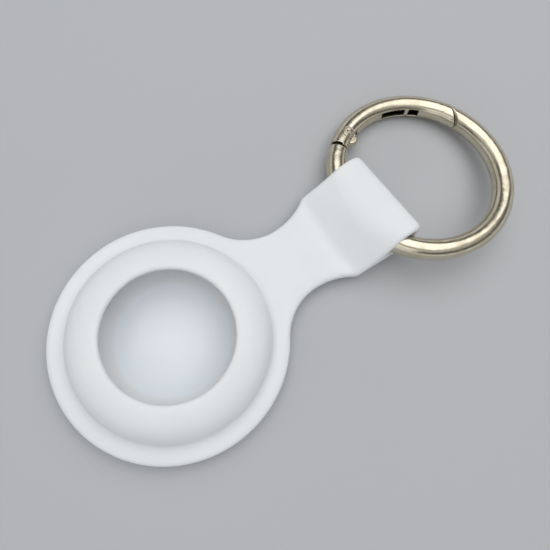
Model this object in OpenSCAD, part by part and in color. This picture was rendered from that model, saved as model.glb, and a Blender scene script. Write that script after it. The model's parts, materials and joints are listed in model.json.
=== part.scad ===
// Soft moulded holder for a round tracker tag, on a spring-gate carrier ring.
// Millimetres. The origin is the middle of the face that the pocket rests on.
// +X runs along the strap to the ring, +Z points out of the pocket's window.

/* [Tag pocket] */
// Diameter of the tracker tag
tag_d = 31.9; // [28:0.1:36]
// Thickness of the tracker tag
tag_t = 8; // [7:0.1:10]
// Play round the tag, on the radius
tag_play = 0.05; // [0:0.05:0.2]
// Thickness of the closed back
floor_t = 1.15; // [0.8:0.05:1.6]
// Thickness of the lip that holds the tag down
lip_t = 1.05; // [0.8:0.05:1.6]
// Diameter of the window in the lip
window_d = 21.2; // [18:0.1:24]
// Diameter of the flat disc in the middle of the back
rest_d = 18.7; // [14:0.1:21]
// Thickness of the pocket's side wall at its foot
wall_t = 1; // [0.8:0.1:1.6]
// Height of the straight band that grips the tag's edge
band_h = 1.2; // [0.8:0.1:1.8]
// Rounding inside, from the straight band up to the lip
tag_round = 4.65; // [4.2:0.05:5]
// Width of the dome outside, from the flange in to the flat lip
dome_w = 5.9; // [5:0.1:6.4]

/* [Flange and neck] */
// Width of the flat flange round the pocket
flange_w = 3.5; // [2:0.1:4.5]
// Thickness of the flange and the neck
flange_t = 2.1; // [1.6:0.1:2.6]
// Height of the flange's underside above the rest face
flange_lift = 1.5; // [1.3:0.1:2]
// Width of the neck at its waist
waist_w = 13.2; // [10:0.1:15]
// Distance from the flange to the waist
waist_gap = 5.5; // [4.5:0.1:7]
// Length of the stub of neck between the flange and the stretch that bends
stub_l = 1.5; // [1:0.1:3]
// Distance from the waist to the shoulder where the strap is full width
shoulder_l = 8.2; // [7:0.1:9.5]

/* [Strap loop] */
// Width of the strap
strap_w = 18.2; // [17:0.1:19]
// Length of the strap from its shoulder to the end of the loop
loop_l = 13.5; // [12.8:0.1:16]
// Thickness of each layer of the loop
layer_t = 1.5; // [1.3:0.1:1.8]
// Play between the ring's wire and the loop, above and below
eyelet_play = 0.36; // [0.3:0.01:0.6]
// Twist of the loop about the strap, which lets the ring's hinge side down
loop_roll = 8.5; // [4:0.5:9]
// Sideways shift of the loop's end, away from the ring's hinge
loop_shift = 0.35; // [0:0.05:0.5]

/* [Carrier ring] */
// Inner diameter of the closed ring
ring_inner_d = 29.5; // [28:0.1:32]
// Thickness of the ring
wire_d = 4; // [3.8:0.1:4.2]
// How far the ring has slid along the loop to its hinge side
ring_slide = 0.35; // [-0.4:0.05:0.5]
// Slope of the ring from the loop down to its far side
ring_pitch = 2.5; // [1.5:0.1:2.8]
// Place of the hinge round the ring, from the far side
hinge_angle = 116.4; // [112:0.2:118]
// Place of the gate's tip round the ring, from the far side
tip_angle = 22.5; // [18:0.5:28]

/* [Gate hinge and spring] */
// How far the hinge lies inside the middle of the wire
hinge_inset = 0.69; // [0.4:0.01:0.8]
// Diameter of the hinge rivet
rivet_d = 1.8; // [1.4:0.1:1.9]
// Running clearance of the rivet in the tongue, on the radius
rivet_play = 0.06; // [0.03:0.01:0.1]
// Thickness of the tongue between the gate's cheeks
tongue_t = 1.5; // [1.2:0.1:1.6]
// Gap between the tongue and each cheek
cheek_gap = 0.1; // [0.06:0.01:0.15]
// Radius of the tongue's round end
hub_r = 1.7; // [1.6:0.05:1.75]
// Radius of the cam lobe on the tongue
lobe_r = 1.6; // [1.5:0.05:1.65]
// Offset of the cam lobe towards the middle of the ring
lobe_offset = 0.65; // [0.5:0.05:0.7]
// Gap at the seam between the gate's tip and the ring
seam_gap = 0.12; // [0.08:0.01:0.25]
// Width of the bore inside the gate for the spring and the plunger
groove_w = 2; // [1.95:0.05:2.2]
// Outer diameter of the gate spring
spring_d = 1.8; // [1.6:0.05:1.85]
// Thickness of the spring's wire
spring_wire_d = 0.3; // [0.25:0.01:0.32]
// Number of turns of the spring
spring_turns = 14; // [10:1:14]
// Length of the plunger between the spring and the tongue
plunger_l = 2.2; // [1.8:0.1:2.4]

/* [Hidden] */
$fn = 96;
// Overrun of every cut
over = 1;

// Pocket
cavity_r = tag_d / 2 + tag_play;
crease_r = cavity_r + wall_t;
flange_r = crease_r + flange_w;
flange_top = flange_lift + flange_t;
pocket_h = floor_t + tag_t + lip_t;
window_r = window_d / 2;
rest_r = rest_d / 2;
// Rounding of the window's edge
lip_round = 0.45;
ceiling = floor_t + tag_t;
round_middle_r = cavity_r - tag_round;
band_top = ceiling - tag_round;
band_bottom = band_top - band_h;
// The back's sloping flank keeps the floor's thickness
flank_slope = (band_bottom - floor_t) / (cavity_r - rest_r);
buried_z = flange_lift + flange_t / 2;
// The dome's round outside meets the flange at the crease and is level at its top
dome_h = pocket_h - flange_top;
dome_r = (dome_w * dome_w + dome_h * dome_h) / (2 * dome_h);

// Neck
waist_x = flange_r + waist_gap;
stub_x = flange_r + stub_l;
shoulder_x = waist_x + shoulder_l;
half_waist = waist_w / 2;
half_strap = strap_w / 2;
// Round that is tangent to the flange and to the waist, and the round up to the shoulder
flange_fillet_r = (waist_x * waist_x + half_waist * half_waist - flange_r * flange_r)
    / (2 * (flange_r - half_waist));
shoulder_dy = half_strap - half_waist;
shoulder_fillet_r = (shoulder_l * shoulder_l + shoulder_dy * shoulder_dy) / (2 * shoulder_dy);
tangent_share = flange_r / (flange_r + flange_fillet_r);
tangent_x = waist_x * tangent_share;
tangent_y = (half_waist + flange_fillet_r) * tangent_share;

// Strap loop, drawn flat: u runs along the strap and v up from the strap's underside
wire_r = wire_d / 2;
eyelet_h = wire_d + 2 * eyelet_play;
loop_h = 2 * layer_t + eyelet_h;
loop_end = shoulder_x + loop_l;
web_end = shoulder_x - 0.65 * flange_t;
// Height of the eyelet where the two layers part
parting_h = 0.4;
twist_end = shoulder_x + 0.7 * loop_l;
RISE_STEPS = 14;
FOLD_STEPS = 14;
WIDTH_STEPS = 6;
// Squareness of the fold at the loop's end, 2 is a plain half ellipse
fold_power = 2.6;
fold_l = 3.6;

// Carrier ring
ring_r = ring_inner_d / 2 + wire_r;
hinge_r = ring_r - hinge_inset;
// The wire crosses the loop half way up the eyelet
neck_mid = flange_lift + flange_t / 2;
wire_v = layer_t + eyelet_h / 2 - flange_t / 2;
// Gap between the wire and the loop's end at the strap's edges
pull_gap = 1.35;
ring_x = loop_end - layer_t - pull_gap - wire_r
    + sqrt(ring_r * ring_r - half_strap * half_strap);
ring_y = ring_slide + wire_v * sin(loop_roll) - ring_r * sin(ring_pitch) * sin(loop_roll);
ring_z = neck_mid + wire_v * cos(loop_roll) - ring_r * sin(ring_pitch) * cos(loop_roll);

// Hinge, gate and spring, in the ring's own plane
pivot = [hinge_r * cos(hinge_angle), hinge_r * sin(hinge_angle)];
// Arc along the ring's middle that a length spans
function span(length) = length / ring_r * 180 / PI;
tail_l = 3.48;
slit_w = 0.35;
tail_angle = hinge_angle + span(tail_l);
shoulder_angle = tail_angle + span(slit_w);
tip_r = ring_r - 0.45 * wire_r;
tip_point = [tip_r * cos(tip_angle), tip_r * sin(tip_angle)];
tip_reach = norm(tip_point - pivot);
hub_play = 0.17;
slot_r = lobe_offset + lobe_r + hub_play;
// How far each peened end of the rivet stands proud of the wire at the hinge's middle
rivet_proud = 0.05;
// Directions from the hinge between which the gate is cut away for the tongue
slot_from_angle = 125;
slot_to_angle = 280;
slot_reach = 2 * tail_l;
tongue_inner_r = ring_r - 0.86 * wire_r;
tongue_outer_r = ring_r + 0.82 * wire_r;
// The spring and the plunger lie on an arc just inside the middle of the wire
spring_arc_r = ring_r - 0.15 * wire_r;
plunger_r = 0.85 * groove_w / 2;
// Clearance that keeps the plunger's flat face off the tongue's cam
plunger_gap = 0.14;
plunger_tip = hub_r + plunger_gap;
plunger_angle = hinge_angle - span(plunger_tip + plunger_l / 2) * ring_r / spring_arc_r;
end_gap = 0.04;
seat_gap = spring_wire_d / 2 + end_gap;
spring_start_angle = hinge_angle - span(plunger_tip + plunger_l + seat_gap) * ring_r / spring_arc_r;
spring_end_angle = 61.2;
groove_end_angle = spring_end_angle - span(seat_gap);
// The bore opens to the middle of the ring along a window, too narrow for the spring to leave
window_start_angle = 80.7;
window_w = 0.9 * spring_d;
// A rib parts the groove from a second small pocket near the gate's tip
rib_l = 0.9;
tip_pocket_l = 2.45;
tip_pocket_start_angle = groove_end_angle - span(rib_l);
tip_pocket_end_angle = tip_pocket_start_angle - span(tip_pocket_l);
spring_r = (spring_d - spring_wire_d) / 2;
SPRING_RINGS = 8;
SPRING_SIDES = 6;

function smooth(t) = let (c = min(1, max(0, t))) c * c * (3 - 2 * c);

// Tag pocket
module crease_to_lip() {
    intersection() {
        translate([crease_r - dome_w, pocket_h - dome_r]) circle(r = dome_r);
        translate([crease_r - dome_w, flange_top]) square([dome_w, dome_h]);
    }
}

module pocket_outside() {
    flank_at_buried = rest_r + buried_z / flank_slope;
    polygon([
        [0, 0],
        [rest_r, 0],
        [min(flank_at_buried, crease_r), buried_z],
        [crease_r, flange_top],
        [crease_r - dome_w, flange_top],
        [crease_r - dome_w, pocket_h],
        [0, pocket_h],
    ]);
    crease_to_lip();
}

module pocket_inside() {
    polygon([
        [0, floor_t],
        [rest_r, floor_t],
        [cavity_r, band_bottom],
        [cavity_r, band_top],
        [0, band_top],
    ]);
    intersection() {
        translate([round_middle_r, band_top]) circle(r = tag_round);
        translate([round_middle_r, band_top]) square([tag_round, tag_round]);
    }
    translate([0, band_top - over]) square([round_middle_r, tag_round + over]);
    square([window_r, pocket_h + over]);
    // Rounding of the window's edge
    difference() {
        translate([window_r - over, pocket_h - lip_round]) square([over + lip_round, lip_round + over]);
        translate([window_r + lip_round, pocket_h - lip_round]) circle(r = lip_round);
    }
}

// Everything of the pocket's inside except what would cut the floor
module pocket_inside_clear() {
    intersection() {
        pocket_inside();
        translate([0, floor_t]) square([flange_r, pocket_h + over]);
    }
}

module neck_outline(from_x, to_x) {
    intersection() {
        difference() {
            union() {
                translate([tangent_x, -tangent_y]) square([waist_x - tangent_x, 2 * tangent_y]);
                translate([waist_x, -half_strap]) square([shoulder_l, strap_w]);
            }
            for (side = [-1, 1]) {
                intersection() {
                    translate([waist_x, side * (half_waist + flange_fillet_r)])
                        circle(r = flange_fillet_r);
                    translate([0, -flange_r - over]) square([waist_x, 2 * (flange_r + over)]);
                }
                intersection() {
                    translate([waist_x, side * (half_waist + shoulder_fillet_r)])
                        circle(r = shoulder_fillet_r);
                    translate([waist_x, -flange_r - over]) square([shoulder_l, 2 * (flange_r + over)]);
                }
            }
        }
        translate([from_x, -flange_r]) square([to_x - from_x, 2 * flange_r]);
    }
}

module tag_pocket() {
    color("whitesmoke")
    difference() {
        union() {
            rotate_extrude() pocket_outside();
            translate([0, 0, flange_lift]) linear_extrude(flange_t) {
                circle(r = flange_r);
                neck_outline(tangent_x, stub_x);
            }
        }
        rotate_extrude() pocket_inside_clear();
    }
}

// Neck that bends, one moulding with the pocket and the loop
module neck_web() {
    color("white")
    translate([0, 0, flange_lift]) linear_extrude(flange_t) neck_outline(stub_x, web_end);
}

// Strap loop: an outer outline and the eyelet's outline with the same number of points, both
// from the underside round the fold to the top, joined into a band and twisted about the strap
function fold_point(start, low, high, length, k) =
    let (
        a = -90 + 180 * k / FOLD_STEPS,
        c = pow(abs(cos(a)), 2 / fold_power),
        s = sign(sin(a)) * pow(abs(sin(a)), 2 / fold_power)
    )
    [start + length * c, (low + high) / 2 + (high - low) / 2 * s];

// The wire crosses the strap in an arc, so its outer edge lies further on at the strap's sides
function bow(y) = ring_r + wire_r - sqrt(pow(ring_r + wire_r, 2) - y * y);
wire_edge = ring_x - ring_r - wire_r;
function outer_rise(u, y) =
    let (
        from = wire_edge - 2.3 * wire_r + 0.3 * bow(y),
        to = wire_edge + 0.95 * wire_r + bow(y)
    )
    smooth((u - from) / (to - from));
function slit_start(y) = wire_edge - 1.3 * wire_r + bow(y);
function slit_rise(u, y) =
    let (from = slit_start(y), to = wire_edge + 0.7 * wire_r + bow(y))
    smooth((u - from) / (to - from));

fold_u = loop_end - fold_l;
function outer_outline(y) = concat(
    [for (i = [0:RISE_STEPS - 1]) [web_end + (fold_u - web_end) * i / RISE_STEPS, 0]],
    [for (k = [0:FOLD_STEPS]) fold_point(fold_u, 0, loop_h, fold_l, k)],
    [for (i = [RISE_STEPS - 1:-1:0]) let (u = web_end + (fold_u - web_end) * i / RISE_STEPS)
        [u, flange_t + (loop_h - flange_t) * outer_rise(u, y)]]
);
function eyelet_outline(y) = concat(
    [for (i = [0:RISE_STEPS - 1])
        [slit_start(y) + (fold_u - slit_start(y)) * i / RISE_STEPS, layer_t]],
    [for (k = [0:FOLD_STEPS])
        fold_point(fold_u, layer_t, loop_h - layer_t, fold_l - layer_t, k)],
    [for (i = [RISE_STEPS - 1:-1:0])
        let (u = slit_start(y) + (fold_u - slit_start(y)) * i / RISE_STEPS)
        [u, layer_t + parting_h + (eyelet_h - parting_h) * slit_rise(u, y)]]
);

// Half width of the strap, which still grows between the neck and the shoulder
function half_width(u) = u >= shoulder_x ? half_strap
    : half_waist + shoulder_fillet_r
        - sqrt(shoulder_fillet_r * shoulder_fillet_r - (u - waist_x) * (u - waist_x));

// A flat point of the strap at a share of its half width, twisted and leaning
function twisted(p, side_share) =
    let (
        share = smooth((p[0] - shoulder_x) / (twist_end - shoulder_x)),
        a = loop_roll * share,
        y = side_share * half_width(p[0]),
        w = p[1] - flange_t / 2
    )
    [p[0], y * cos(a) + w * sin(a) - loop_shift * share, neck_mid - y * sin(a) + w * cos(a)];

module strap_loop() {
    n = 2 * RISE_STEPS + FOLD_STEPS + 1;
    rows = WIDTH_STEPS + 1;
    side_shares = [for (row = [0:WIDTH_STEPS]) 2 * row / WIDTH_STEPS - 1];
    points = concat(
        [for (s = side_shares) each [for (p = outer_outline(s * half_strap)) twisted(p, s)]],
        [for (s = side_shares) each [for (p = eyelet_outline(s * half_strap)) twisted(p, s)]]
    );
    last = WIDTH_STEPS * n;
    hole = rows * n;
    // Two triangles for each cell between one pair of rows
    function strip(a, b) = [for (i = [0:n - 1]) let (j = (i + 1) % n)
        each [[a + i, b + j, b + i], [a + i, a + j, b + j]]];
    color("snow")
    polyhedron(
        points = points,
        faces = concat(
            [for (row = [0:WIDTH_STEPS - 1]) each strip(row * n, (row + 1) * n)],
            [for (row = [0:WIDTH_STEPS - 1]) each strip(hole + (row + 1) * n, hole + row * n)],
            strip(last, hole + last),
            strip(hole, 0)
        )
    );
}

// Carrier ring
module on_ring() {
    translate([ring_x, ring_y, ring_z]) rotate([-loop_roll, 0, 0]) rotate([0, ring_pitch, 0])
        children();
}

module wire_arc(from_angle, to_angle) {
    rotate([0, 0, from_angle]) rotate_extrude(angle = to_angle - from_angle)
        translate([ring_r, 0]) circle(r = wire_r);
}

module layer(thickness) {
    translate([0, 0, -thickness / 2]) linear_extrude(thickness) children();
}

// Upright round about the hinge, right through the ring
module post(radius) {
    translate([pivot[0], pivot[1], -wire_d]) cylinder(r = radius, h = 2 * wire_d);
}

// Part of a disc between two directions, as a fan of points beyond any circle it cuts
module fan(from_angle, to_angle, reach) {
    steps = 8;
    polygon(concat([[0, 0]], [for (i = [0:steps])
        let (a = from_angle + (to_angle - from_angle) * i / steps) reach * [cos(a), sin(a)]]));
}

// Part of a disc about the ring's middle
module inner_sector(radius, from_angle, to_angle) {
    intersection() {
        circle(r = radius);
        fan(from_angle, to_angle, 2 * ring_r);
    }
}

module tongue_outline() {
    translate(pivot) circle(r = hub_r);
    translate(pivot * (hinge_r - lobe_offset) / hinge_r) circle(r = lobe_r);
    intersection() {
        difference() {
            circle(r = tongue_outer_r);
            circle(r = tongue_inner_r);
        }
        fan(hinge_angle + span(0.3 * hub_r), shoulder_angle + span(wire_r), 2 * ring_r);
    }
}

// The fixed arc runs from the hinge round to the gate's tip
module ring_arc() {
    color("tan")
    on_ring() difference() {
        union() {
            difference() {
                wire_arc(shoulder_angle, 360 + tip_angle + span(2 * wire_r));
                // The gate's tip swings on a circle about the hinge
                intersection() {
                    post(tip_reach + seam_gap);
                    translate([tip_point[0], tip_point[1], -wire_d])
                        cylinder(r = 3 * wire_r, h = 2 * wire_d);
                }
            }
            layer(tongue_t) tongue_outline();
        }
        post(rivet_d / 2 + rivet_play);
    }
}

module gate_arc() {
    color("wheat")
    on_ring() difference() {
        intersection() {
            wire_arc(tip_angle - span(2 * wire_r), tail_angle);
            post(tip_reach);
        }
        // Slot for the tongue
        layer(tongue_t + 2 * cheek_gap) translate(pivot) {
            circle(r = slot_r);
            fan(slot_from_angle, slot_to_angle, slot_reach);
        }
        post(rivet_d / 2);
        // Bore for the spring and the plunger, with its window, and the small pocket beyond
        rotate([0, 0, groove_end_angle])
            rotate_extrude(angle = hinge_angle - span(0.5 * slot_r) - groove_end_angle)
                translate([spring_arc_r, 0]) circle(r = groove_w / 2);
        layer(window_w) {
            inner_sector(spring_arc_r, groove_end_angle, window_start_angle);
            inner_sector(ring_r, tip_pocket_end_angle, tip_pocket_start_angle);
        }
    }
}

module hinge_rivet() {
    rivet_h = 2 * (sqrt(wire_r * wire_r - hinge_inset * hinge_inset) + rivet_proud);
    color("silver")
    on_ring() translate([pivot[0], pivot[1], -rivet_h / 2]) cylinder(r = rivet_d / 2, h = rivet_h);
}

echo("ring centre", ring_x, ring_y, ring_z, "pivot", pivot, "ring radius", ring_r);
echo("plunger angle", plunger_angle, "spring arc", spring_arc_r, spring_start_angle, spring_end_angle);

// Spring: one wire wound about an arc of the gate
spring_count = spring_turns * SPRING_RINGS;
function spring_centre(i) =
    let (
        t = i / spring_count,
        along = spring_start_angle + (spring_end_angle - spring_start_angle) * t,
        turn = 360 * spring_turns * t,
        reach = spring_arc_r + spring_r * cos(turn)
    )
    [reach * cos(along), reach * sin(along), spring_r * sin(turn)];
function unit(v) = v / norm(v);
function spring_ring(i) =
    let (
        here = spring_centre(i),
        ahead = unit(spring_centre(min(i + 1, spring_count)) - spring_centre(max(i - 1, 0))),
        along = spring_start_angle + (spring_end_angle - spring_start_angle) * i / spring_count,
        middle = spring_arc_r * [cos(along), sin(along), 0],
        out = unit(here - middle - ((here - middle) * ahead) * ahead),
        side = cross(ahead, out)
    )
    [for (k = [0:SPRING_SIDES - 1]) let (a = 360 * k / SPRING_SIDES)
        here + spring_wire_d / 2 * (cos(a) * out + sin(a) * side)];

spring_points = [for (i = [0:spring_count]) spring_centre(i)];
spring_least_gap = min([for (i = [0:spring_count - SPRING_RINGS / 2])
    min([for (j = [i + SPRING_RINGS / 2:spring_count]) norm(spring_points[i] - spring_points[j])])])
    - spring_wire_d;
echo("least gap of the spring to itself", spring_least_gap);

module gate_spring() {
    sides = SPRING_SIDES;
    last = spring_count * sides;
    color("gainsboro")
    on_ring() polyhedron(
        points = [for (i = [0:spring_count]) each spring_ring(i)],
        faces = concat(
            [for (i = [0:spring_count - 1], k = [0:sides - 1])
                let (a = i * sides + k, b = i * sides + (k + 1) % sides)
                each [[a, b + sides, b], [a, a + sides, b + sides]]],
            [for (k = [1:sides - 2]) each [[0, k, k + 1], [last, last + k + 1, last + k]]]
        )
    );
}

module spring_plunger() {
    color("silver")
    on_ring() rotate([0, 0, plunger_angle]) translate([spring_arc_r, 0, 0]) rotate([-90, 0, 0])
        translate([0, 0, -plunger_l / 2]) cylinder(r = plunger_r, h = plunger_l);
}

tag_pocket();
neck_web();
strap_loop();
ring_arc();
gate_arc();
hinge_rivet();
gate_spring();
spring_plunger();
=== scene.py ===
import json
import math
import bmesh
import bpy
from mathutils import Matrix, Vector


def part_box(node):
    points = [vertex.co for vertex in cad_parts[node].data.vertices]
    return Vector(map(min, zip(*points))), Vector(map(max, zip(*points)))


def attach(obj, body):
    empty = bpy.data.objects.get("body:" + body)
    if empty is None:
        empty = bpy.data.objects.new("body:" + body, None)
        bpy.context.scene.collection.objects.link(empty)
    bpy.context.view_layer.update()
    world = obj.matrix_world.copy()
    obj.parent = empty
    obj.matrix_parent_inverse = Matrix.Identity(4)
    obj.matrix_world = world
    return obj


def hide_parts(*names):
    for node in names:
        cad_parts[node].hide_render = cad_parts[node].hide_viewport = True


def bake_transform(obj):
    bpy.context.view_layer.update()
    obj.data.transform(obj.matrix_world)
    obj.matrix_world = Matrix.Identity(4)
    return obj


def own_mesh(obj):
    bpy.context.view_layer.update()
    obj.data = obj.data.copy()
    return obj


# A silicone tag holder on a spring-gate carrier ring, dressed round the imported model.
# Shapes are drawn in millimetres and written out in metres.

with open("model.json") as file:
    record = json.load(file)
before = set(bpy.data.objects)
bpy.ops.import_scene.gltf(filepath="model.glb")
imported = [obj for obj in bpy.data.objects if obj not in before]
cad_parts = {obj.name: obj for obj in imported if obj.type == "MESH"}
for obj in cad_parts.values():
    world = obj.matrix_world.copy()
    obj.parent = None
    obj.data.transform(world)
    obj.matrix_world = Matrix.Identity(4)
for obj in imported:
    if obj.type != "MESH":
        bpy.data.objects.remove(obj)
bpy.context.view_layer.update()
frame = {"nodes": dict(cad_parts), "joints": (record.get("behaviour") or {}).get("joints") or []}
joints = {joint["name"]: joint for joint in frame["joints"]}
mm = 0.001
hair = 1e-4  # millimetres within which two places count as one
fineHair = 1e-5
print("frame loaded:", sorted(frame["nodes"]))


# Meshes

def clamped(t):
    return min(1, max(0, t))


def smoothStep(t):
    t = clamped(t)
    return t * t * (3 - 2 * t)


def arcPoints(centre, radius, fromDegrees, toDegrees, steps):
    points = []
    for i in range(steps + 1):
        a = math.radians(fromDegrees + (toDegrees - fromDegrees) * i / steps)
        points.append((centre[0] + radius * math.cos(a), centre[1] + radius * math.sin(a)))
    return points


def addChain(bm, points, closed=False):
    verts = [bm.verts.new(point) for point in points]
    pairs = list(zip(verts, verts[1:])) + ([(verts[-1], verts[0])] if closed else [])
    edges = [bm.edges.new(pair) for pair in pairs]
    return verts + edges


def edgesOf(items):
    return [item for item in items if isinstance(item, bmesh.types.BMEdge)]


def cleanUp(bm, distance=hair):
    bmesh.ops.remove_doubles(bm, verts=bm.verts[:], dist=distance)
    bmesh.ops.recalc_face_normals(bm, faces=bm.faces[:])


def toObject(bm, name, matrix=None):
    # Places the drawn millimetres and writes them as metres
    place = Matrix.Scale(mm, 4) @ (matrix or Matrix.Identity(4))
    bmesh.ops.transform(bm, matrix=place, verts=bm.verts[:])
    mesh = bpy.data.meshes.new(name)
    bm.to_mesh(mesh)
    bm.free()
    thing = bpy.data.objects.new(name, mesh)
    bpy.context.scene.collection.objects.link(thing)
    return thing


def joinParts(name, parts):
    bm = bmesh.new()
    for part in parts:
        bm.from_mesh(part.data)
        bpy.data.objects.remove(part)
    bmesh.ops.transform(bm, matrix=Matrix.Scale(1 / mm, 4), verts=bm.verts[:])
    return toObject(bm, name)


def triangulate(thing):
    bm = bmesh.new()
    bm.from_mesh(thing.data)
    bmesh.ops.triangulate(bm, faces=bm.faces[:])
    bm.to_mesh(thing.data)
    bm.free()


def cutAway(thing, cutters, operation="DIFFERENCE"):
    # Triangles only, since a cut leaves wider faces that are not quite flat, and the next cut over
    # them can go wrong in one run and not in another
    for cutter in cutters:
        triangulate(thing)
        triangulate(cutter)
        cut = thing.modifiers.new("cut", "BOOLEAN")
        cut.operation = operation
        cut.solver = "EXACT"
        cut.object = cutter
        applyModifiers(thing)
        bpy.data.objects.remove(cutter)


def applyModifiers(thing):
    bpy.context.view_layer.update()
    evaluated = thing.evaluated_get(bpy.context.evaluated_depsgraph_get())
    mesh = bpy.data.meshes.new_from_object(evaluated)
    mesh.name = thing.name
    thing.modifiers.clear()
    thing.data = mesh


def dropFins(thing):
    # Deletes the pairs of faces that a cut can leave lying back to back
    bm = bmesh.new()
    bm.from_mesh(thing.data)
    bmesh.ops.triangulate(bm, faces=bm.faces[:])
    bmesh.ops.dissolve_degenerate(bm, dist=fineHair * mm, edges=bm.edges[:])
    sides = {}
    for face in bm.faces:
        sides.setdefault(frozenset(face.verts), []).append(face)
    fins = [face for pair in sides.values() if len(pair) > 1 for face in pair]
    bmesh.ops.delete(bm, geom=fins, context="FACES")
    openEdges = sum(len(edge.link_faces) != 2 for edge in bm.edges)
    print(thing.name, "fins dropped:", len(fins), "open edges:", openEdges)
    bm.to_mesh(thing.data)
    bm.free()


def castInOne(thing, voxel, rounds):
    # One closed skin over parts that overlap, its edges eased as a moulding's or a casting's are
    remesh = thing.modifiers.new("skin", "REMESH")
    remesh.mode = "VOXEL"
    remesh.voxel_size = voxel * mm
    ease = thing.modifiers.new("ease", "SMOOTH")
    ease.factor = 0.5
    ease.iterations = rounds
    applyModifiers(thing)


def finishPiece(thing, body, material, nodes):
    thing.data.materials.clear()
    thing.data.materials.append(material)
    for polygon in thing.data.polygons:
        polygon.use_smooth = True
    if body:
        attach(thing, body)
    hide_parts(*nodes)


# Materials

noiseRange = (0.3, 0.7)  # where nearly all of a noise pattern's values lie


def linearColor(hexValue):
    parts = [int(hexValue[i:i + 2], 16) / 255 for i in (0, 2, 4)]
    return [p / 12.92 if p <= 0.04045 else ((p + 0.055) / 1.055) ** 2.4 for p in parts] + [1.0]


def addNode(tree, kind, settings=None, inputs=None):
    node = tree.nodes.new(kind)
    for key, value in (settings or {}).items():
        setattr(node, key, value)
    for socket, value in (inputs or {}).items():
        if isinstance(value, bpy.types.NodeSocket):
            tree.links.new(value, node.inputs[socket])
        else:
            node.inputs[socket].default_value = value
    return node


def newMaterial(name):
    material = bpy.data.materials.new(name)
    material.use_nodes = True
    material.node_tree.nodes.clear()
    return material, material.node_tree


# Moulded silicone rubber: dead matt, a little light gets in, so edges and hollows stay soft
siliconeLook = {
    "white": "eceeef",
    "cooler": "e3e7ea",
    # painted bounce light: the lighter, cooler colour of the pocket's floor
    "seat": "eaf0f5",
    "mottle": 9.0,
    "grain": 0.3,  # mould grain is nearer 0.05 mm, drawn coarser so that it shows at all
    "grainBump": (0.12, 0.02),
    "roughness": (0.46, 0.56),
    "ior": 1.41,
    "depthShare": 0.15,
    "depthColours": (1.0, 0.95, 0.9),
    "depth": 0.6,
}


def mouldedSilicone():
    look = siliconeLook
    material, tree = newMaterial("mouldedSilicone")
    place = addNode(tree, "ShaderNodeTexCoord").outputs["Object"]
    mottle = addNode(tree, "ShaderNodeTexNoise", None, {
        "Vector": place, "Scale": 1 / (look["mottle"] * mm), "Detail": 3.0, "Roughness": 0.5})
    colour = addNode(tree, "ShaderNodeMix", {"data_type": "RGBA"}, {
        "Factor": mottle.outputs["Fac"], 6: linearColor(look["white"]), 7: linearColor(look["cooler"])})
    gloss = addNode(tree, "ShaderNodeMapRange", None, {
        "Value": mottle.outputs["Fac"], "From Min": noiseRange[0], "From Max": noiseRange[1],
        "To Min": look["roughness"][0], "To Max": look["roughness"][1]})
    grain = addNode(tree, "ShaderNodeTexNoise", None, {
        "Vector": place, "Scale": 1 / (look["grain"] * mm), "Detail": 2.0})
    bump = addNode(tree, "ShaderNodeBump", None, {
        "Height": grain.outputs["Fac"], "Strength": look["grainBump"][0],
        "Distance": look["grainBump"][1] * mm})
    # The pocket's floor is mixed to a lighter, cooler colour: painted bounce light
    seat = addNode(tree, "ShaderNodeAttribute", {"attribute_name": "seat"}).outputs["Fac"]
    paintedLightTone = addNode(tree, "ShaderNodeMix", {"data_type": "RGBA"}, {
        "Factor": seat, 6: colour.outputs[2], 7: linearColor(look["seat"])})
    shader = addNode(tree, "ShaderNodeBsdfPrincipled", None, {
        "Base Color": paintedLightTone.outputs[2], "Roughness": gloss.outputs["Result"],
        "Normal": bump.outputs["Normal"], "IOR": look["ior"],
        "Subsurface Weight": look["depthShare"], "Subsurface Radius": look["depthColours"],
        "Subsurface Scale": look["depth"] * mm})
    addNode(tree, "ShaderNodeOutputMaterial", None, {"Surface": shader.outputs["BSDF"]})
    return material


# Cast zinc with a pale, warm nickel plating: bright over a slightly wavy casting, rougher in its recesses,
# where painted shade darkens it nearly to black
platingLook = {
    "bright": "dcd6c5",
    "dull": "bcb198",
    # painted shade: the near-black colour of the recesses
    "recessShadeColour": "2e2820",
    "wave": 2.6,
    "waveBump": (0.5, 0.13),  # a bump's strength, and its depth in millimetres
    "pits": 0.45,
    "pitBump": (0.8, 0.08),
    "pitsElsewhere": 0.1,  # how much of the pits is left away from the seam
    "roughness": (0.13, 0.26),
    "bareRoughness": 0.6,
    "roughPatch": 3.4,  # half length of the rougher casting beside the gate's seam
    "seamPlace": (17.6, 31, 1.5),  # radius, angle and height in the ring's own frame
}


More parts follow.
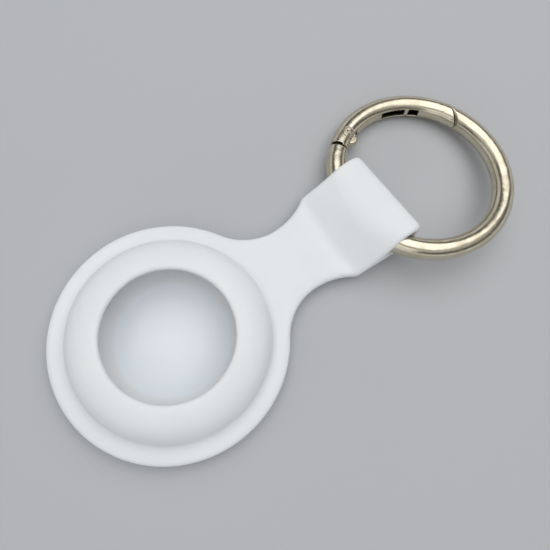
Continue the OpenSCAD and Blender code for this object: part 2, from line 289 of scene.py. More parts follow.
def platedZinc(seamPlace):
    look = platingLook
    material, tree = newMaterial("platedCastZinc")
    place = addNode(tree, "ShaderNodeTexCoord").outputs["Object"]
    wave = addNode(tree, "ShaderNodeTexNoise", None, {
        "Vector": place, "Scale": 1 / (look["wave"] * mm), "Detail": 2.0})
    pits = addNode(tree, "ShaderNodeTexNoise", None, {
        "Vector": place, "Scale": 1 / (look["pits"] * mm), "Detail": 3.0, "Roughness": 0.6})
    away = addNode(tree, "ShaderNodeVectorMath", {"operation": "DISTANCE"}, {0: place, 1: seamPlace})
    patch = addNode(tree, "ShaderNodeMapRange", {"interpolation_type": "SMOOTHSTEP"}, {
        "Value": away.outputs["Value"], "From Min": 0.0, "From Max": look["roughPatch"] * mm,
        "To Min": 1.0, "To Max": look["pitsElsewhere"]})
    pitDepth = addNode(tree, "ShaderNodeMath", {"operation": "MULTIPLY"}, {
        0: pits.outputs["Fac"], 1: patch.outputs["Result"]})
    colour = addNode(tree, "ShaderNodeMix", {"data_type": "RGBA"}, {
        "Factor": wave.outputs["Fac"], 6: linearColor(look["bright"]), 7: linearColor(look["dull"])})
    gloss = addNode(tree, "ShaderNodeMapRange", None, {
        "Value": wave.outputs["Fac"], "From Min": noiseRange[0], "From Max": noiseRange[1],
        "To Min": look["roughness"][0], "To Max": look["roughness"][1]})
    waveBump = addNode(tree, "ShaderNodeBump", None, {
        "Height": wave.outputs["Fac"], "Strength": look["waveBump"][0],
        "Distance": look["waveBump"][1] * mm})
    pitBump = addNode(tree, "ShaderNodeBump", None, {
        "Height": pitDepth.outputs["Value"], "Strength": look["pitBump"][0],
        "Distance": look["pitBump"][1] * mm, "Normal": waveBump.outputs["Normal"]})
    # Recesses below the wire's skin are painted nearly black, which is painted shade, and are given a
    # rougher finish
    depth = addNode(tree, "ShaderNodeAttribute", {"attribute_name": "recessShade"}).outputs["Fac"]
    paintedLightTone = addNode(tree, "ShaderNodeMix", {"data_type": "RGBA"}, {
        "Factor": depth, 6: colour.outputs[2], 7: linearColor(look["recessShadeColour"])})
    dulled = addNode(tree, "ShaderNodeMix", {"data_type": "FLOAT"}, {
        "Factor": depth, 2: gloss.outputs["Result"], 3: look["bareRoughness"]})
    shader = addNode(tree, "ShaderNodeBsdfPrincipled", None, {
        "Base Color": paintedLightTone.outputs[2], "Roughness": dulled.outputs[0],
        "Normal": pitBump.outputs["Normal"], "Metallic": 1.0})
    addNode(tree, "ShaderNodeOutputMaterial", None, {"Surface": shader.outputs["BSDF"]})
    return material


# Plain steel, drawn or peened: greyer and rougher than the plating round it
steelLook = {
    "marks": 0.35,
    "markBump": (0.4, 0.05),
    "peenedRivetSteel": ("d8cfbd", "a89f8e", (0.18, 0.34)),
    "drawnSpringSteel": ("b9b6b0", "6f6c68", (0.2, 0.35)),
}


def steel(name):
    look = steelLook
    bright, dull, roughness = look[name]
    material, tree = newMaterial(name)
    place = addNode(tree, "ShaderNodeTexCoord").outputs["Object"]
    marks = addNode(tree, "ShaderNodeTexNoise", None, {
        "Vector": place, "Scale": 1 / (look["marks"] * mm), "Detail": 3.0})
    colour = addNode(tree, "ShaderNodeMix", {"data_type": "RGBA"}, {
        "Factor": marks.outputs["Fac"], 6: linearColor(bright), 7: linearColor(dull)})
    gloss = addNode(tree, "ShaderNodeMapRange", None, {
        "Value": marks.outputs["Fac"], "From Min": noiseRange[0], "From Max": noiseRange[1],
        "To Min": roughness[0], "To Max": roughness[1]})
    bump = addNode(tree, "ShaderNodeBump", None, {
        "Height": marks.outputs["Fac"], "Strength": look["markBump"][0],
        "Distance": look["markBump"][1] * mm})
    shader = addNode(tree, "ShaderNodeBsdfPrincipled", None, {
        "Base Color": colour.outputs[2], "Roughness": gloss.outputs["Result"],
        "Normal": bump.outputs["Normal"], "Metallic": 1.0})
    addNode(tree, "ShaderNodeOutputMaterial", None, {"Surface": shader.outputs["BSDF"]})
    return material


# Silicone moulding: pocket, neck and loop in one skin

pocket = {
    "restRadius": 9.35,
    "bounceLightRadius": 10.0,  # how far out the painted bounce light, a lighter and cooler floor inside, reaches, and over what width that fades
    "bounceLightFade": 1.0,
    "floor": 1.15,
    "flankSlope": 0.3233,
    "cavityRadius": 16.0,
    "bandBottom": 3.3,
    "bandTop": 4.5,
    "tagRound": 4.65,
    "windowRadius": 10.6,
    "lipRound": 0.45,
    "height": 10.2,
    "domeCentre": (11.1, 4.263),
    "domeRadius": 5.937,
    "flangeRadius": 20.5,
    "flangeBottom": 1.5,
    "flangeTop": 3.6,
    "edgeRound": 0.98,
    "edgeSteps": 6,
    "creaseRound": 1.2,
    "creaseSteps": 8,
    "domeSteps": 28,
    "lipSteps": 5,
    "tagSteps": 20,
    "spinSteps": 256,
    "voxel": 0.3,
    "easing": 4,
    "blend": (22, 32.8),  # where along the strap a bend would begin and end
}


def pocketSolid():
    p = pocket
    e = p["edgeRound"]
    c = p["creaseRound"]
    creaseX = p["domeCentre"][0] + math.sqrt((p["domeRadius"] + c) ** 2
                                             - (p["flangeTop"] + c - p["domeCentre"][1]) ** 2)
    creaseCentre = (creaseX, p["flangeTop"] + c)
    creaseAngle = math.degrees(math.atan2(creaseCentre[1] - p["domeCentre"][1],
                                          creaseCentre[0] - p["domeCentre"][0]))
    outline = [(0, 0), (p["restRadius"], 0)]
    outline += [(p["restRadius"] + p["flangeBottom"] / p["flankSlope"], p["flangeBottom"])]
    outline += arcPoints((p["flangeRadius"] - e, p["flangeBottom"] + e), e, -90, 0, p["edgeSteps"])
    outline += arcPoints((p["flangeRadius"] - e, p["flangeTop"] - e), e, 0, 90, p["edgeSteps"])
    outline += arcPoints(creaseCentre, c, 270, 180 + creaseAngle, p["creaseSteps"])
    outline += arcPoints(p["domeCentre"], p["domeRadius"], creaseAngle, 90, p["domeSteps"])[1:]
    lipCentre = (p["windowRadius"] + p["lipRound"], p["height"] - p["lipRound"])
    outline += arcPoints(lipCentre, p["lipRound"], 90, 180, p["lipSteps"])
    outline += [(p["windowRadius"], p["bandTop"] + p["tagRound"])]
    tagCentre = (p["cavityRadius"] - p["tagRound"], p["bandTop"])
    outline += arcPoints(tagCentre, p["tagRound"], 90, 0, p["tagSteps"])
    outline += [(p["cavityRadius"], p["bandBottom"]), (p["restRadius"], p["floor"]), (0, p["floor"])]
    bm = bmesh.new()
    chain = addChain(bm, [(x, 0, z) for x, z in outline])
    bmesh.ops.spin(bm, geom=chain, cent=(0, 0, 0), axis=(0, 0, 1), angle=2 * math.pi,
                   steps=p["spinSteps"], use_merge=True)
    cleanUp(bm)
    return toObject(bm, "pocketSolid")


neck = {
    "waistX": 26.0,
    "halfWaist": 6.6,
    "shoulderX": 34.2,
    "halfStrap": 9.1,
    "endX": 35.0,
    "overlap": 1.0,  # how far outside the pocket's cavity the plate starts
    "flangeShare": 16,  # degrees of the flange's rim that the neck's plate follows on each side
    "innerSteps": 24,
    "rimSteps": 10,
    "filletSteps": 18,
    "shoulderSteps": 12,
    "edgeSegments": 5,
    "twistStart": 34.2,
    "twistEnd": 43.65,
    "twist": 8.5,
    "shift": 0.35,  # how far the loop sits towards the hinge's other side
}


def twistStrap(bm):
    # The loop is rolled about the strap, the hinge side lower
    middle = (pocket["flangeBottom"] + pocket["flangeTop"]) / 2
    for vert in bm.verts:
        share = smoothStep((vert.co.x - neck["twistStart"]) / (neck["twistEnd"] - neck["twistStart"]))
        angle = math.radians(neck["twist"]) * share
        y, w = vert.co.y, vert.co.z - middle
        vert.co.y = y * math.cos(angle) + w * math.sin(angle) - neck["shift"] * share
        vert.co.z = middle - y * math.sin(angle) + w * math.cos(angle)


def neckPlate():
    n = neck
    r = pocket["flangeRadius"]
    fillet = (n["waistX"] ** 2 + n["halfWaist"] ** 2 - r ** 2) / (2 * (r - n["halfWaist"]))
    shoulder = shoulderRadius()
    tangent = math.degrees(math.atan2(n["halfWaist"] + fillet, n["waistX"]))
    reach = tangent + n["flangeShare"]
    inner = arcPoints((0, 0), pocket["cavityRadius"] + n["overlap"], -reach, reach, n["innerSteps"])
    side = arcPoints((0, 0), r, reach, tangent, n["rimSteps"])
    filletCentre = (n["waistX"], n["halfWaist"] + fillet)
    side += arcPoints(filletCentre, fillet, 180 + tangent, 270, n["filletSteps"])[1:]
    shoulderCentre = (n["waistX"], n["halfWaist"] + shoulder)
    shoulderEnd = 270 + math.degrees(math.asin((n["shoulderX"] - n["waistX"]) / shoulder))
    side += arcPoints(shoulderCentre, shoulder, 270, shoulderEnd, n["shoulderSteps"])[1:]
    side += [(n["endX"], n["halfStrap"])]
    other = [(x, -y) for x, y in reversed(side)]
    bm = bmesh.new()
    rim = [(x, y, pocket["flangeBottom"]) for x, y in inner + side + other]
    bmesh.ops.contextual_create(bm, geom=addChain(bm, rim, closed=True))
    raised = bmesh.ops.extrude_face_region(bm, geom=bm.faces[:])
    top = [item for item in raised["geom"] if isinstance(item, bmesh.types.BMVert)]
    bmesh.ops.translate(bm, vec=(0, 0, pocket["flangeTop"] - pocket["flangeBottom"]), verts=top)
    cleanUp(bm)
    rims = [edge for edge in bm.edges if abs(edge.verts[0].co.z - edge.verts[1].co.z) < hair]
    bmesh.ops.bevel(bm, geom=rims, offset=pocket["edgeRound"], segments=n["edgeSegments"], profile=0.5,
                    affect="EDGES", material=-1)
    return toObject(bm, "neckPlate")


loop = {
    "startX": 32.0,
    "end": 47.7,
    "fold": 3.6,
    "foldPower": 2.6,  # 2 would be a plain half ellipse
    "foldSteps": 28,
    "layer": 1.5,
    "height": 7.72,
    "parting": 0.4,  # gap between the layers where the eyelet begins
    "rampStart": 33.3,
    "rampBow": 0.3,  # share of the wire's bow that the ramp's foot follows
    "crestCorner": 39.54,
    "rampRound": 3.0,
    "crestRound": 7.0,
    "slitStart": 35.56,
    "slitEnd": 39.56,
    "wireOutside": 18.75,
    "rim": 0.74,
    "rimSegments": 4,
    "overcut": 1.0,  # how far the eyelet's cutter stands out at the strap's sides
    "corner": 1.0,
    "rows": 16,
    "steps": 30,
    "slice": 0.7,  # width of the strips that the side faces are cut into
}


def wireBow(y):
    # The ring's wire crosses the strap in an arc, so what lies over it is further on at the sides
    y = min(abs(y), neck["halfStrap"])
    return loop["wireOutside"] - math.sqrt(loop["wireOutside"] ** 2 - y ** 2)


def rampHeight(u, y):
    # Two rounds and a straight between them, from the strap's top to the top of the loop
    low = pocket["flangeTop"] - pocket["flangeBottom"]
    start = loop["rampStart"] + loop["rampBow"] * wireBow(y)
    corner = loop["crestCorner"] + wireBow(y)
    angle = math.atan2(loop["height"] - low, corner - start)
    foot = loop["rampRound"] * math.tan(angle / 2)
    crest = loop["crestRound"] * math.tan(angle / 2)
    if u <= start - foot:
        return low
    if u < start + foot * math.cos(angle):
        return low + loop["rampRound"] - math.sqrt(loop["rampRound"] ** 2 - (u - start + foot) ** 2)
    if u < corner - crest * math.cos(angle):
        return low + (u - start) * math.tan(angle)
    if u < corner + crest:
        sag = loop["crestRound"] - math.sqrt(loop["crestRound"] ** 2 - (corner + crest - u) ** 2)
        return loop["height"] - sag
    return loop["height"]


def foldPoints(low, high, length):
    points = []
    power = 2 / loop["foldPower"]
    for i in range(loop["foldSteps"] + 1):
        a = math.radians(-90 + 180 * i / loop["foldSteps"])
        across = math.copysign(abs(math.sin(a)) ** power, math.sin(a))
        along = max(0.0, math.cos(a)) ** power
        points.append((loop["end"] - loop["fold"] + length * along,
                       (low + high) / 2 + (high - low) / 2 * across))
    return points


def stepsToFold(start):
    foldStart = loop["end"] - loop["fold"]
    return [start + (foldStart - start) * i / loop["steps"] for i in range(loop["steps"])]


def outerOutline(y):
    run = stepsToFold(loop["startX"])
    fold = [(u, min(v, rampHeight(u, y))) for u, v in foldPoints(0, loop["height"], loop["fold"])]
    return [(u, 0) for u in run] + fold + [(u, rampHeight(u, y)) for u in reversed(run)]


def eyeletOutline(y):
    start = loop["slitStart"] + wireBow(y)
    end = loop["slitEnd"] + wireBow(y)
    opening = loop["height"] - 2 * loop["layer"]
    run = stepsToFold(start)
    roof = []
    for u in reversed(run):
        rise = (opening - loop["parting"]) * smoothStep((u - start) / (end - start))
        roof.append((u, loop["layer"] + loop["parting"] + rise))
    fold = foldPoints(loop["layer"], loop["height"] - loop["layer"], loop["fold"] - loop["layer"])
    return [(u, loop["layer"]) for u in run] + fold + roof


def bandAcross(outline, reach):
    # An outline that changes across the strap, skinned from row to row
    bm = bmesh.new()
    last = []
    for row in range(loop["rows"] + 1):
        y = reach * (2 * row / loop["rows"] - 1)
        points = [(u, y, pocket["flangeBottom"] + v) for u, v in outline(y)]
        edges = edgesOf(addChain(bm, points, closed=True))
        if last:
            bmesh.ops.bridge_loops(bm, edges=last + edges)
        if row in (0, loop["rows"]):
            bmesh.ops.contextual_create(bm, geom=edges)
        last = edges
    bmesh.ops.recalc_face_normals(bm, faces=bm.faces[:])
    return bm


def shoulderRadius():
    rise = neck["halfStrap"] - neck["halfWaist"]
    return ((neck["shoulderX"] - neck["waistX"]) ** 2 + rise ** 2) / (2 * rise)


def shapeSides(bm):
    # The strap's width grows up to the shoulder, and the corners at the loop's end are rounded
    n = neck
    shoulder = shoulderRadius()
    for vert in bm.verts:
        width = n["halfStrap"]
        beyond = vert.co.x - loop["end"] + loop["corner"]
        if vert.co.x < n["shoulderX"]:
            width = n["halfWaist"] + shoulder - math.sqrt(shoulder ** 2 - (vert.co.x - n["waistX"]) ** 2)
        elif beyond > 0:
            width -= loop["corner"] - math.sqrt(max(0, loop["corner"] ** 2 - beyond ** 2))
        vert.co.y *= width / n["halfStrap"]


def sliceAcross(bm):
    # Cuts the wide end faces into strips, so that they bend cleanly with the strap
    x = loop["startX"] + loop["slice"] / 2
    while x < loop["end"]:
        bmesh.ops.bisect_plane(bm, geom=bm.verts[:] + bm.edges[:] + bm.faces[:], plane_co=(x, 0, 0),
                               plane_no=(1, 0, 0), dist=fineHair)
        x += loop["slice"]


def loopSolid():
    bm = bandAcross(outerOutline, neck["halfStrap"])
    side = neck["halfStrap"] - hair
    rims = [edge for edge in bm.edges if all(abs(vert.co.y) > side for vert in edge.verts)]
    bmesh.ops.bevel(bm, geom=rims, offset=loop["rim"], segments=loop["rimSegments"], profile=0.5,
                    affect="EDGES", material=-1)
    sliceAcross(bm)
    shapeSides(bm)
    twistStrap(bm)
    band = toObject(bm, "loopSolid")
    bm = bandAcross(eyeletOutline, neck["halfStrap"] + loop["overcut"])
    sliceAcross(bm)
    twistStrap(bm)
    cutAway(band, [toObject(bm, "eyelet")])
    return band


def markPaintedBounceLight(thing):
    # Marks the flat floor inside the pocket for painted bounce light, a lighter and cooler colour than the
    # rubber round it
    p = pocket
    share = []
    for vert in thing.data.vertices:
        reach = math.hypot(vert.co.x, vert.co.y) / mm
        height = vert.co.z / mm
        inside = p["floor"] / 2 < height < p["bandBottom"]
        share.append(clamped((p["bounceLightRadius"] - reach) / p["bounceLightFade"] + 0.5) if inside else 0.0)
    thing.data.attributes.new("seat", "FLOAT", "POINT").data.foreach_set("value", share)


def siliconeHolder(material):
    holder = joinParts("siliconeHolder", [pocketSolid(), neckPlate(), loopSolid()])
    castInOne(holder, pocket["voxel"], pocket["easing"])
    markPaintedBounceLight(holder)
    finishPiece(holder, None, material, ["tag_pocket", "neck_web", "strap_loop"])
    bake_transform(holder)
    print("silicone holder:", len(holder.data.polygons), "faces")


# Carrier ring and its gate

ring = {
    "radius": 16.75,
    "wire": 2.0,
    "wireSides": 48,
    "wireStep": 1.25,
    "roll": -8.5,
    "pitch": 2.5,
    "hinge": 116.4,
    "inset": 0.69,  # how far inside the wire's middle line the hinge lies
    "shoulder": 129.48,
    "tip": 22.5,
    "tipReach": 23.319,
    "tipSides": 512,
    "tipSpare": 13,  # degrees of wire past the seam, which the tip's round cuts off
    "tipArea": (15.85, 6, 8),  # place, radius and height of the block that keeps that cut at the seam
    "seam": 0.12,
    "notch": (0.08, 0.36),  # half width of the groove at the seam: thin below, wide on top
    "notchAngle": 135,
    "notchPower": 3,
    "notchSteps": 72,
    "notchSides": 8,
    "through": 6,  # height of what goes right through the wire
    "tongue": 1.5,
    "hub": 1.7,
    "hubRound": 0.4,
    "hubSegments": 4,
    "lobe": 1.6,
    "lobeOffset": 0.65,
    "armReach": (0.86, 0.82),  # shares of the wire's radius that the arm fills inwards and outwards
    "armOverlap": (1.75, 7),  # degrees from the hinge where it starts, and into the wire where it ends
    "rivetPlay": 0.06,
    "voxel": 0.13,
    "easing": 3,
    "snap": (0.035, 0.1),  # full and no pull on to the wire's round, by distance from it
    "recessShade": (0.12, 0.35),  # where the painted shade of the recesses starts below the wire's skin, and over what depth; the plating is rougher there too
}


def onRing(radius, degrees, height=0.0):
    angle = math.radians(degrees)
    return Vector((radius * math.cos(angle), radius * math.sin(angle), height))


hingeRadius = ring["radius"] - ring["inset"]
pivot = onRing(hingeRadius, ring["hinge"])
ringTurn = (Matrix.Rotation(math.radians(ring["roll"]), 4, "X")
            @ Matrix.Rotation(math.radians(ring["pitch"]), 4, "Y"))
hingePlace = Vector(joints["gate_open"]["pos_m"]) / mm
ringPlace = Matrix.Translation(hingePlace - ringTurn @ pivot) @ ringTurn


def standingDisc(radius, reach, sides):
    bm = bmesh.new()
    bmesh.ops.create_circle(bm, cap_ends=True, segments=sides, radius=radius)
    bmesh.ops.rotate(bm, cent=(0, 0, 0), matrix=Matrix.Rotation(math.pi / 2, 3, "X"), verts=bm.verts[:])
    bmesh.ops.translate(bm, vec=(reach, 0, 0), verts=bm.verts[:])
    return bm


def sweptArc(name, radius, section, fromDegrees, toDegrees, sides=ring["wireSides"]):
    # A round bar bent to an arc, closed at both ends
    bm = standingDisc(section, radius, sides)
    bmesh.ops.rotate(bm, cent=(0, 0, 0), matrix=Matrix.Rotation(math.radians(fromDegrees), 3, "Z"),
                     verts=bm.verts[:])
    steps = round((toDegrees - fromDegrees) / ring["wireStep"])
    bmesh.ops.spin(bm, geom=bm.faces[:], cent=(0, 0, 0), axis=(0, 0, 1),
                   angle=math.radians(toDegrees - fromDegrees), steps=steps)
    cleanUp(bm)
    return toObject(bm, name, ringPlace)


def flatArc(name, innerRadius, outerRadius, thickness, fromDegrees, toDegrees):
    # A flat bar bent to an arc in the ring's own plane
    bm = bmesh.new()
    corners = [(innerRadius, 0, -thickness / 2), (outerRadius, 0, -thickness / 2),
               (outerRadius, 0, thickness / 2), (innerRadius, 0, thickness / 2)]
    bmesh.ops.contextual_create(bm, geom=addChain(bm, corners, closed=True))
    bmesh.ops.rotate(bm, cent=(0, 0, 0), matrix=Matrix.Rotation(math.radians(fromDegrees), 3, "Z"),
                     verts=bm.verts[:])
    bmesh.ops.spin(bm, geom=bm.faces[:], cent=(0, 0, 0), axis=(0, 0, 1),
                   angle=math.radians(toDegrees - fromDegrees), steps=round(toDegrees - fromDegrees))
    cleanUp(bm)
    return toObject(bm, name, ringPlace)


def upright(name, radius, height, centre, sides=64, lift=0.0, edge=0.0):
    # A short round bar that stands square on the ring's plane
    bm = bmesh.new()
    bmesh.ops.create_cone(bm, cap_ends=True, segments=sides, radius1=radius, radius2=radius, depth=height)
    if edge:
        rims = [rim for rim in bm.edges if abs(rim.verts[0].co.z - rim.verts[1].co.z) < hair]
        bmesh.ops.bevel(bm, geom=rims, offset=edge, segments=ring["hubSegments"], profile=0.5,
                        affect="EDGES", material=-1)
    bmesh.ops.translate(bm, vec=(centre[0], centre[1], lift), verts=bm.verts[:])
    return toObject(bm, name, ringPlace)


def seamNotch():
    # A tube along the line where the gate's round tip meets the skin of the wire, bridged link by link
    r = ring
    bm = bmesh.new()
    reach = r["tipReach"] + r["seam"] / 2
    thin, wide = r["notch"]
    loops = []
    for i in range(r["notchSteps"]):
        a = 2 * math.pi * i / r["notchSteps"]
        flat = r["radius"] + r["wire"] * math.cos(a)
        spread = (flat ** 2 + hingeRadius ** 2 - reach ** 2) / (2 * flat * hingeRadius)
        turn = math.radians(r["hinge"]) - math.acos(spread)
        place = Vector((flat * math.cos(turn), flat * math.sin(turn), r["wire"] * math.sin(a)))
        out = Vector((math.cos(a) * math.cos(turn), math.cos(a) * math.sin(turn), math.sin(a)))
        away = Vector((place.x - pivot.x, place.y - pivot.y, 0))
        away = (away - out * away.dot(out)).normalized()
        facing = max(0, math.cos(a - math.radians(r["notchAngle"])))
        half = thin + (wide - thin) * facing ** r["notchPower"]
        corners = arcPoints((0, 0), half, 0, 360 - 360 / r["notchSides"], r["notchSides"] - 1)
        link = [place + x * out + y * away for x, y in corners]
        loops.append(edgesOf(addChain(bm, link, closed=True)))
    for here, there in zip(loops, loops[1:] + loops[:1]):
        bmesh.ops.bridge_loops(bm, edges=here + there)
    bmesh.ops.recalc_face_normals(bm, faces=bm.faces[:])
    return toObject(bm, "seamNotch", ringPlace)


def trueWire(thing):
    # Puts the skin back on the exact round of the wire wherever it lies close to it, and marks what lies
    # deeper for the painted shade of the recesses
    mesh = thing.data
    toRing = ringPlace.inverted()
    places = []
    shadeShares = []
    for vert in mesh.vertices:
        local = toRing @ (vert.co / mm)
        middle = Vector((local.x, local.y, 0)).normalized() * ring["radius"]
        out = local - middle
        short = ring["wire"] - out.length
        pull = clamped((ring["snap"][1] - abs(short)) / (ring["snap"][1] - ring["snap"][0]))
        local += out.normalized() * short * pull
        places.extend((ringPlace @ local) * mm)
        shadeShares.append(clamped((short - ring["recessShade"][0]) / ring["recessShade"][1]))
    mesh.vertices.foreach_set("co", places)
    mesh.attributes.new("recessShade", "FLOAT", "POINT").data.foreach_set("value", shadeShares)
    mesh.update()


def ringArc(material):
    r = ring
    bar = sweptArc("bar", r["radius"], r["wire"], r["shoulder"], 360 + r["tip"] + r["tipSpare"])
    tipRound = upright("tipRound", r["tipReach"] + r["seam"], r["through"], pivot, r["tipSides"])
    areaPlace, areaRadius, areaHeight = r["tipArea"]
    tipArea = upright("tipArea", areaRadius, areaHeight, onRing(areaPlace, r["tip"]))
    cutAway(tipRound, [tipArea], "INTERSECT")
    cutAway(bar, [tipRound, seamNotch()])
    inner = r["radius"] - r["armReach"][0] * r["wire"]
    outer = r["radius"] + r["armReach"][1] * r["wire"]
    arm = flatArc("arm", inner, outer, r["tongue"], r["hinge"] + r["armOverlap"][0],
                  r["shoulder"] + r["armOverlap"][1])
    hub = upright("hub", r["hub"], r["tongue"], pivot, edge=r["hubRound"])
    lobePlace = pivot * ((hingeRadius - r["lobeOffset"]) / hingeRadius)
    lobe = upright("lobe", r["lobe"], r["tongue"], lobePlace, edge=r["hubRound"])
    whole = joinParts("ringArc", [bar, arm, hub, lobe])
    castInOne(whole, r["voxel"], r["easing"])
    hole = upright("hole", rivet["radius"] + r["rivetPlay"], r["through"], pivot, rivet["sides"])
    cutAway(whole, [hole])
    trueWire(whole)
    finishPiece(whole, "ring", material, ["ring_arc"])
    print("ring arc:", len(whole.data.polygons), "faces")


rivet = {
    "radius": 0.9,
    "sides": 48,
    "head": 1.15,
    "headStart": 1.2,
    "headHeight": 3,
    "headProud": 0.04,
    "span": 10,  # degrees of the wire's round on each side that shape the heads
    "dimple": 0.38,
    "dimpleHeight": 1,
    "dimpleLift": 2.15,
    "dimpleSides": 32,
    "voxel": 0.06,
    "easing": 3,
}


def headBars(name, radius, sides=64):
    v = rivet
    lift = v["headStart"] + v["headHeight"] / 2
    return [upright(name, radius, v["headHeight"], pivot, sides, side * lift) for side in (-1, 1)]


def hingeRivet(material):
    r = ring
    v = rivet
    pin = upright("hingeRivet", v["radius"], r["through"], pivot, v["sides"])
    cutAway(pin, headBars("head", v["head"], v["sides"]), "UNION")
    skin = sweptArc("skin", r["radius"], r["wire"] + v["headProud"], r["hinge"] - v["span"],
                    r["hinge"] + v["span"])
    cutAway(pin, [skin], "INTERSECT")
    dimples = [upright("dimple", v["dimple"], v["dimpleHeight"], pivot, v["dimpleSides"],
                       side * v["dimpleLift"]) for side in (-1, 1)]
    cutAway(pin, dimples)
    castInOne(pin, v["voxel"], v["easing"])
    finishPiece(pin, "gate", material, ["hinge_rivet"])


spring = {
    "arcRadius": 16.45,
    "startAngle": 101.73,
    "endAngle": 61.2,
    "coil": 0.75,
    "wire": 0.15,
    "wireSides": 10,
    "turns": 14,
    "stepsPerTurn": 28,
    "keep": 0.96,
}


def gateSpring(material):
    # Wound straight from the wire's round section, then laid along the gate's bore
    s = spring
    span = math.radians(s["startAngle"] - s["endAngle"]) * s["arcRadius"]
    steps = s["turns"] * s["stepsPerTurn"]
    bm = standingDisc(s["wire"], s["coil"], s["wireSides"])
    bmesh.ops.spin(bm, geom=bm.faces[:], cent=(0, 0, 0), axis=(0, 0, 1), dvec=(0, 0, span / steps),
                   angle=2 * math.pi * s["turns"], steps=steps)
    cleanUp(bm, fineHair)
    for vert in bm.verts:
        angle = math.radians(s["startAngle"]) - vert.co.z / s["arcRadius"]
        reach = s["arcRadius"] + vert.co.x
        vert.co = (reach * math.cos(angle), reach * math.sin(angle), vert.co.y)
    thing = toObject(bm, "gateSpring", ringPlace)
    finishPiece(thing, "gate", material, ["gate_spring"])
    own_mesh(thing)


gate = {
    "tail": 128.3,
    "tailStep": 127.1,
    "tailStepDepth": 0.5,
    "slot": 2.42,
    "slotFrom": 0.5,  # degrees past the hinge
    "cheekGap": 0.1,
    "clear": 6,  # how far the cutters stand clear of the wire, in millimetres or degrees
    "bore": 1.0,
    "boreSides": 32,
    "boreStart": 4.14,  # degrees short of the hinge
    "boreEnd": 60.57,
    "windowStart": 80.7,
    "windowWidth": 1.62,
    "windowInner": 3.4,
    "pocketStart": 57.5,
    "pocketEnd": 49.1,
    "headGap": 0.12,
    "voxel": 0.1,
    "easing": 4,
}


def gateArc(material):
    r = ring
    g = gate
    bar = sweptArc("bar", r["radius"], r["wire"], r["tip"] - r["tipSpare"], g["tail"])
    tipRound = upright("tipRound", r["tipReach"], r["through"], pivot, r["tipSides"])
    cutAway(bar, [tipRound], "INTERSECT")
    slotHeight = r["tongue"] + 2 * g["cheekGap"]
    outside = r["radius"] + g["clear"]
    tailEnd = g["tail"] + g["clear"]
    slotRound = upright("slotRound", g["slot"], slotHeight, pivot)
    slotBack = flatArc("slotBack", r["radius"] - g["clear"], outside, slotHeight,
                       r["hinge"] + g["slotFrom"], tailEnd)
    bore = sweptArc("bore", spring["arcRadius"], g["bore"], g["boreEnd"], r["hinge"] - g["boreStart"],
                    g["boreSides"])
    inner = r["radius"] - g["windowInner"]
    window = flatArc("window", inner, spring["arcRadius"], g["windowWidth"], g["boreEnd"], g["windowStart"])
    tipPocket = flatArc("tipPocket", inner, r["radius"], g["windowWidth"], g["pocketEnd"], g["pocketStart"])
    tailStep = flatArc("tailStep", r["radius"] - g["tailStepDepth"], outside, r["through"],
                       g["tailStep"], tailEnd)
    cutAway(bar, [slotRound, slotBack, bore, window, tipPocket, tailStep, seamNotch()])
    bar.name = "gateArc"
    castInOne(bar, g["voxel"], g["easing"])
    seats = headBars("seat", rivet["head"] + g["headGap"])
    cutAway(bar, [upright("hole", rivet["radius"], r["through"], pivot)] + seats)
    dropFins(bar)
    trueWire(bar)
    finishPiece(bar, "gate", material, ["gate_arc"])
    print("gate arc:", len(bar.data.polygons), "faces")


plunger = {
    "radius": 0.85,
    "length": 2.2,
    "nose": 0.35,
    "noseSteps": 6,
    "sides": 48,
    "angle": 106.2,
}


def springPlunger(material):
    # A turned pin with a rounded nose at each end
    p = plunger
    half = p["length"] / 2
    noseX = p["radius"] - p["nose"]
    outline = [(0, -half)]
    outline += arcPoints((noseX, -half + p["nose"]), p["nose"], -90, 0, p["noseSteps"])
    outline += arcPoints((noseX, half - p["nose"]), p["nose"], 0, 90, p["noseSteps"])
    outline += [(0, half)]
    bm = bmesh.new()
    chain = addChain(bm, [(x, 0, z) for x, z in outline])
    bmesh.ops.spin(bm, geom=chain, cent=(0, 0, 0), axis=(0, 0, 1), angle=2 * math.pi,
                   steps=p["sides"], use_merge=True)
    cleanUp(bm)
    low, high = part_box("spring_plunger")
    middle = (low + high) / 2 / mm
    turn = Matrix.Rotation(math.radians(p["angle"]), 4, "Z") @ Matrix.Rotation(math.pi / 2, 4, "X")
    thing = toObject(bm, "springPlunger", Matrix.Translation(middle) @ ringTurn @ turn)
    finishPiece(thing, "plunger", material, ["spring_plunger"])


silicone = mouldedSilicone()
plating = platedZinc(ringPlace @ onRing(*platingLook["seamPlace"]) * mm)
rivetSteel = steel("peenedRivetSteel")
springSteel = steel("drawnSpringSteel")
siliconeHolder(silicone)
ringArc(plating)
gateArc(plating)
hingeRivet(rivetSteel)
gateSpring(springSteel)
springPlunger(rivetSteel)
print("pieces made")


# Floor, light and camera

studio = {
    "floor": "b9bbbe",
    "floorRoughness": 0.85,
    "floorSheen": 0.2,
    "reach": 3000,
    "drop": 0.02,  # keeps the floor's face clear of the pocket's
    "room": [
        # sine of the elevation and the room's brightness there: a pale backdrop, a dark band
        # that the metal mirrors, a pale ceiling
        (0.0, 0.66),
        (0.30, 0.66),
        (0.38, 0.10),
        (0.52, 0.10),
        (0.70, 0.55),
    ],
    "lamps": [
        # place, aim, size and power of each soft panel
        ((0.12, 0.08, 0.42), (0.03, 0, 0), 0.55, 1.25),
        ((-0.35, -0.32, 0.35), (0.03, 0, 0), 0.40, 0.35),
        ((-0.33, 0.38, 0.35), (0.0, 0, 0), 0.40, 0.13),
    ],
}


def softPanel(name, place, aim, size, power):
    light = bpy.data.lights.new(name, "AREA")
    light.shape = "SQUARE"
    light.size = size
    light.energy = power
    panel = bpy.data.objects.new(name, light)
    panel.location = place
    panel.rotation_euler = (Vector(aim) - Vector(place)).to_track_quat("-Z", "Y").to_euler()
    bpy.context.scene.collection.objects.link(panel)


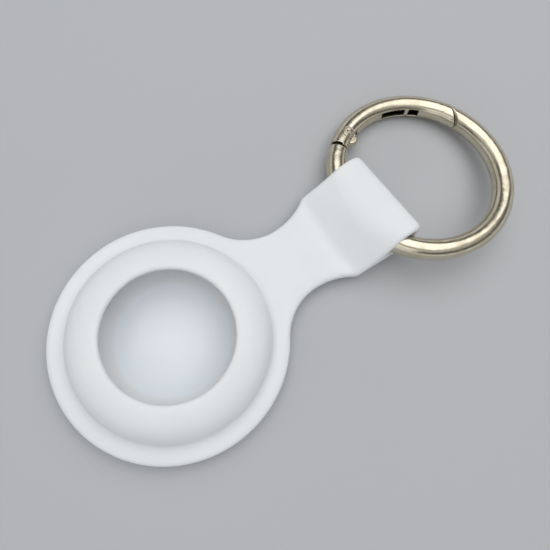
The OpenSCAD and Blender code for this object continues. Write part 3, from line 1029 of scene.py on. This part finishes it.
def makeStudio():
    bm = bmesh.new()
    bmesh.ops.create_grid(bm, x_segments=1, y_segments=1, size=studio["reach"])
    bmesh.ops.translate(bm, vec=(0, 0, -studio["drop"]), verts=bm.verts[:])
    floor = toObject(bm, "floor")
    material, tree = newMaterial("paleCard")
    shader = addNode(tree, "ShaderNodeBsdfPrincipled", None, {
        "Base Color": linearColor(studio["floor"]), "Roughness": studio["floorRoughness"],
        "Specular IOR Level": studio["floorSheen"]})
    addNode(tree, "ShaderNodeOutputMaterial", None, {"Surface": shader.outputs["BSDF"]})
    floor.data.materials.append(material)
    for number, lamp in enumerate(studio["lamps"]):
        softPanel(f"panel{number}", *lamp)
    world = bpy.data.worlds.new("studio")
    world.use_nodes = True
    tree = world.node_tree
    tree.nodes.clear()
    way = addNode(tree, "ShaderNodeTexCoord").outputs["Generated"]
    height = addNode(tree, "ShaderNodeSeparateXYZ", None, {"Vector": way})
    glow = addNode(tree, "ShaderNodeValToRGB", None, {"Fac": height.outputs["Z"]})
    band = glow.color_ramp.elements
    for number, (sine, level) in enumerate(studio["room"]):
        stop = band[number] if number < len(band) else band.new(sine)
        stop.position = sine
        stop.color = (level, level, level, 1)
    room = addNode(tree, "ShaderNodeBackground", None, {
        "Color": glow.outputs["Color"], "Strength": 1.0})
    addNode(tree, "ShaderNodeOutputWorld", None, {"Surface": room.outputs["Background"]})
    bpy.context.scene.world = world
    bpy.context.scene.view_settings.view_transform = "Standard"


camera = {
    "place": (1.981, -10.382, 82.017),
    "right": (0.8137, -0.5672, 0.1270),
    "up": (0.5316, 0.8146, 0.2323),
    "focalPixels": 450,
    "imagePixels": 550,
    "sensor": 36.0,
    "clip": (0.001, 10),
}


def makeCamera():
    c = camera
    right = Vector(c["right"]).normalized()
    up = Vector(c["up"])
    up = (up - right * up.dot(right)).normalized()
    back = right.cross(up)
    lens = bpy.data.cameras.new("camera")
    lens.sensor_fit = "HORIZONTAL"
    lens.sensor_width = c["sensor"]
    lens.lens = c["sensor"] * c["focalPixels"] / c["imagePixels"]
    lens.clip_start, lens.clip_end = c["clip"]
    turn = Matrix((right, up, back)).transposed().to_4x4()
    thing = bpy.data.objects.new("camera", lens)
    thing.matrix_world = Matrix.Translation(Vector(c["place"]) * mm) @ turn
    bpy.context.scene.collection.objects.link(thing)
    bpy.context.scene.camera = thing


makeStudio()
makeCamera()
print("studio and camera ready")
